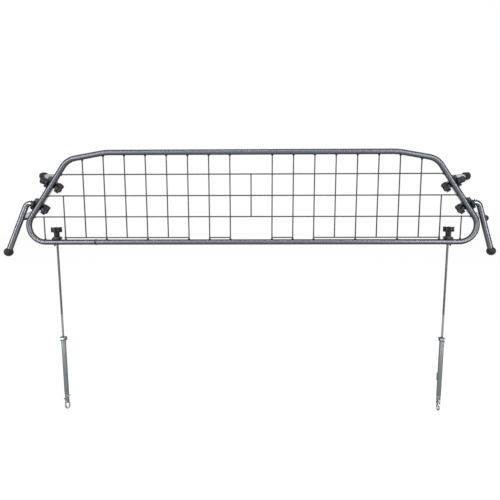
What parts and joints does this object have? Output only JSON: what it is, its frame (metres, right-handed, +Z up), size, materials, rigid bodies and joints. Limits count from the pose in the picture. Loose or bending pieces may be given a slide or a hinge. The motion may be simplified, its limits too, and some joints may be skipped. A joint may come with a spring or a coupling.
{
  "type": "car dog guard",
  "caption": "Wire mesh dog guard for a car's load area, with a bent tube frame, clamp-on side struts and arms, and threaded hold-down rods with snap hooks.",
  "frame": {"origin": "middle of the bottom rail's centre line", "axes": "X along the guard to the viewer's right, Y away from the viewer into the car's load area, Z up"},
  "size_m": [1.1759, 0.0928, 0.6465],
  "materials": {
    "frame_paint": "hammered anthracite paint, half gloss",
    "wire_paint": "anthracite paint on welded wire",
    "black_plastic": "moulded, finely grained",
    "black_rubber": "soft moulded rubber",
    "bright_zinc": "bright zinc plate",
    "dull_zinc": "dull grey-green zinc plate",
    "steel": "plain threaded rod"
  },
  "bodies": {
    "frame": {"frame_tube": "frame_paint", "mesh_panel": "wire_paint", "left_rail_saddle": "black_plastic", "right_rail_saddle": "black_plastic"},
    "left_upper_clamp": {"left_upper_block": "black_plastic", "left_upper_nut": "bright_zinc", "left_socket_plug": "black_rubber"},
    "left_upper_clamp_jaw": {"left_upper_jaw": "black_plastic"},
    "left_upper_clamp_screw": {"left_upper_knob": "black_plastic", "left_upper_stud": "bright_zinc"},
    "left_lower_clamp": {"left_lower_block": "black_plastic", "left_lower_nut": "bright_zinc"},
    "left_lower_clamp_jaw": {"left_lower_jaw": "black_plastic"},
    "left_lower_clamp_screw": {"left_lower_knob": "black_plastic", "left_lower_stud": "bright_zinc"},
    "left_strut": {"left_strut": "bright_zinc", "left_strut_foot": "black_rubber", "left_strut_cap": "black_rubber"},
    "left_arm": {"left_arm": "frame_paint", "left_arm_screw": "steel", "left_arm_ball": "black_rubber"},
    "left_hand_knob": {"left_hand_knob": "black_plastic"},
    "left_rod": {"left_rod": "steel"},
    "left_tensioner": {"left_tension_bracket": "dull_zinc", "left_tension_tube": "dull_zinc"},
    "left_tension_nut": {"left_tension_nut": "bright_zinc"},
    "left_clevis": {"left_clevis": "dull_zinc", "left_lock_bar": "bright_zinc", "left_hook_pin": "bright_zinc"},
    "left_hook": {"left_hook": "dull_zinc"},
    "left_gate": {"left_hook_gate": "bright_zinc"},
    "right_upper_clamp": {"right_upper_block": "black_plastic", "right_upper_nut": "bright_zinc", "right_socket_plug": "black_rubber"},
    "right_upper_clamp_jaw": {"right_upper_jaw": "black_plastic"},
    "right_upper_clamp_screw": {"right_upper_knob": "black_plastic", "right_upper_stud": "bright_zinc"},
    "right_lower_clamp": {"right_lower_block": "black_plastic", "right_lower_nut": "bright_zinc"},
    "right_lower_clamp_jaw": {"right_lower_jaw": "black_plastic"},
    "right_lower_clamp_screw": {"right_lower_knob": "black_plastic", "right_lower_stud": "bright_zinc"},
    "right_strut": {"right_strut": "bright_zinc", "right_strut_foot": "black_rubber", "right_strut_cap": "black_rubber"},
    "right_arm": {"right_arm": "frame_paint", "right_arm_screw": "steel", "right_arm_ball": "black_rubber"},
    "right_hand_knob": {"right_hand_knob": "black_plastic"},
    "right_rod": {"right_rod": "steel"},
    "right_tensioner": {"right_tension_bracket": "dull_zinc", "right_tension_tube": "dull_zinc"},
    "right_tension_nut": {"right_tension_nut": "bright_zinc"},
    "right_clevis": {"right_clevis": "dull_zinc", "right_lock_bar": "bright_zinc", "right_hook_pin": "bright_zinc"},
    "right_hook": {"right_hook": "dull_zinc"},
    "right_gate": {"right_hook_gate": "bright_zinc"}
  },
  "joints": [
    {"name": "left_upper_clamp_slide", "type": "slide", "parent": "frame", "child": "left_upper_clamp", "axis": [0.5736, 0, 0.8192], "range_m": [-0.004, 0.001]},
    {"name": "left_upper_jaw_slide", "type": "slide", "parent": "left_upper_clamp", "child": "left_upper_clamp_jaw", "axis": [-0.8192, 0, 0.5736], "range_m": [-0.002, 0]},
    {"name": "left_upper_knob_turn", "type": "hinge", "parent": "left_upper_clamp_jaw", "child": "left_upper_clamp_screw", "pos_m": [-0.47179, 0.01275, 0.13417], "axis": [-0.8192, 0, 0.5736], "range_deg": [-900, 0]},
    {"name": "left_lower_clamp_slide", "type": "slide", "parent": "frame", "child": "left_lower_clamp", "axis": [0.5736, 0, 0.8192], "range_m": [-0.001, 0.01]},
    {"name": "left_lower_jaw_slide", "type": "slide", "parent": "left_lower_clamp", "child": "left_lower_clamp_jaw", "axis": [-0.8192, 0, 0.5736], "range_m": [-0.002, 0]},
    {"name": "left_lower_knob_turn", "type": "hinge", "parent": "left_lower_clamp_jaw", "child": "left_lower_clamp_screw", "pos_m": [-0.50818, 0.01275, 0.0822], "axis": [-0.8192, 0, 0.5736], "range_deg": [-900, 0]},
    {"name": "left_strut_turn", "type": "hinge", "parent": "left_upper_clamp", "child": "left_strut", "pos_m": [-0.48228, 0.02325, 0.14151], "axis": [-0.5736, 0, -0.8192], "range_deg": [-31, 24]},
    {"name": "left_arm_turn", "type": "hinge", "parent": "left_lower_clamp", "child": "left_arm", "pos_m": [-0.51928, 0, 0.08997], "axis": [-0.9336, 0, 0.3584], "range_deg": [-20, 80]},
    {"name": "left_hand_knob_turn", "type": "hinge", "parent": "frame", "child": "left_hand_knob", "pos_m": [-0.47075, 0, 0.02], "axis": [0, 0, 1], "range_deg": [-1800, 1800]},
    {"name": "left_rod_slide", "type": "slide", "parent": "frame", "child": "left_rod", "axis": [0, 0, 1], "range_m": [-0.004, 0.004]},
    {"name": "left_tensioner_slide", "type": "slide", "parent": "left_rod", "child": "left_tensioner", "axis": [0, 0, 1], "range_m": [-0.008, 0.02]},
    {"name": "left_nut_turn", "type": "hinge", "parent": "left_tensioner", "child": "left_tension_nut", "pos_m": [-0.47075, 0, -0.2425], "axis": [0, 0, 1], "range_deg": [-3600, 9000]},
    {"name": "left_swivel_turn", "type": "hinge", "parent": "left_tensioner", "child": "left_clevis", "pos_m": [-0.47075, 0, -0.388], "axis": [0, 0, 1], "continuous": true},
    {"name": "left_hook_tilt", "type": "hinge", "parent": "left_clevis", "child": "left_hook", "pos_m": [-0.47075, 0, -0.4079], "axis": [0, 1, 0], "range_deg": [-40, 40]},
    {"name": "left_gate_turn", "type": "hinge", "parent": "left_hook", "child": "left_gate", "pos_m": [-0.46575, 0, -0.4149], "axis": [0, 1, 0], "range_deg": [0, 35], "stiffness_Nm_per_rad": 0.02},
    {"name": "right_upper_clamp_slide", "type": "slide", "parent": "frame", "child": "right_upper_clamp", "axis": [-0.5736, 0, 0.8192], "range_m": [-0.004, 0.001]},
    {"name": "right_upper_jaw_slide", "type": "slide", "parent": "right_upper_clamp", "child": "right_upper_clamp_jaw", "axis": [0.8192, 0, 0.5736], "range_m": [-0.002, 0]},
    {"name": "right_upper_knob_turn", "type": "hinge", "parent": "right_upper_clamp_jaw", "child": "right_upper_clamp_screw", "pos_m": [0.47179, 0.01275, 0.13417], "axis": [0.8192, 0, 0.5736], "range_deg": [-900, 0]},
    {"name": "right_lower_clamp_slide", "type": "slide", "parent": "frame", "child": "right_lower_clamp", "axis": [-0.5736, 0, 0.8192], "range_m": [-0.001, 0.01]},
    {"name": "right_lower_jaw_slide", "type": "slide", "parent": "right_lower_clamp", "child": "right_lower_clamp_jaw", "axis": [0.8192, 0, 0.5736], "range_m": [-0.002, 0]},
    {"name": "right_lower_knob_turn", "type": "hinge", "parent": "right_lower_clamp_jaw", "child": "right_lower_clamp_screw", "pos_m": [0.50818, 0.01275, 0.0822], "axis": [0.8192, 0, 0.5736], "range_deg": [-900, 0]},
    {"name": "right_strut_turn", "type": "hinge", "parent": "right_upper_clamp", "child": "right_strut", "pos_m": [0.48228, 0.02325, 0.14151], "axis": [-0.5736, 0, 0.8192], "range_deg": [-22, 22]},
    {"name": "right_arm_turn", "type": "hinge", "parent": "right_lower_clamp", "child": "right_arm", "pos_m": [0.51928, 0, 0.08997], "axis": [-0.9336, 0, -0.3584], "range_deg": [-8, 92]},
    {"name": "right_hand_knob_turn", "type": "hinge", "parent": "frame", "child": "right_hand_knob", "pos_m": [0.47075, 0, 0.02], "axis": [0, 0, 1], "range_deg": [-1800, 1800]},
    {"name": "right_rod_slide", "type": "slide", "parent": "frame", "child": "right_rod", "axis": [0, 0, 1], "range_m": [-0.004, 0.004]},
    {"name": "right_tensioner_slide", "type": "slide", "parent": "right_rod", "child": "right_tensioner", "axis": [0, 0, 1], "range_m": [-0.008, 0.02]},
    {"name": "right_nut_turn", "type": "hinge", "parent": "right_tensioner", "child": "right_tension_nut", "pos_m": [0.47075, 0, -0.2425], "axis": [0, 0, 1], "range_deg": [-3600, 9000]},
    {"name": "right_swivel_turn", "type": "hinge", "parent": "right_tensioner", "child": "right_clevis", "pos_m": [0.47075, 0, -0.388], "axis": [0, 0, 1], "continuous": true},
    {"name": "right_hook_tilt", "type": "hinge", "parent": "right_clevis", "child": "right_hook", "pos_m": [0.47075, 0, -0.4079], "axis": [-1, 0, 0], "range_deg": [-40, 40]},
    {"name": "right_gate_turn", "type": "hinge", "parent": "right_hook", "child": "right_gate", "pos_m": [0.47075, 0.005, -0.4149], "axis": [-1, 0, 0], "range_deg": [0, 35], "stiffness_Nm_per_rad": 0.02}
  ],
  "couplings": [
    {"joint": "left_upper_knob_turn", "follows": "left_upper_jaw_slide", "rad_per_m": 7854},
    {"joint": "left_lower_knob_turn", "follows": "left_lower_jaw_slide", "rad_per_m": 7854},
    {"joint": "left_hand_knob_turn", "follows": "left_rod_slide", "rad_per_m": -7854},
    {"joint": "left_nut_turn", "follows": "left_tensioner_slide", "rad_per_m": 7854},
    {"joint": "right_upper_knob_turn", "follows": "right_upper_jaw_slide", "rad_per_m": 7854},
    {"joint": "right_lower_knob_turn", "follows": "right_lower_jaw_slide", "rad_per_m": 7854},
    {"joint": "right_hand_knob_turn", "follows": "right_rod_slide", "rad_per_m": -7854},
    {"joint": "right_nut_turn", "follows": "right_tensioner_slide", "rad_per_m": 7854}
  ]
}
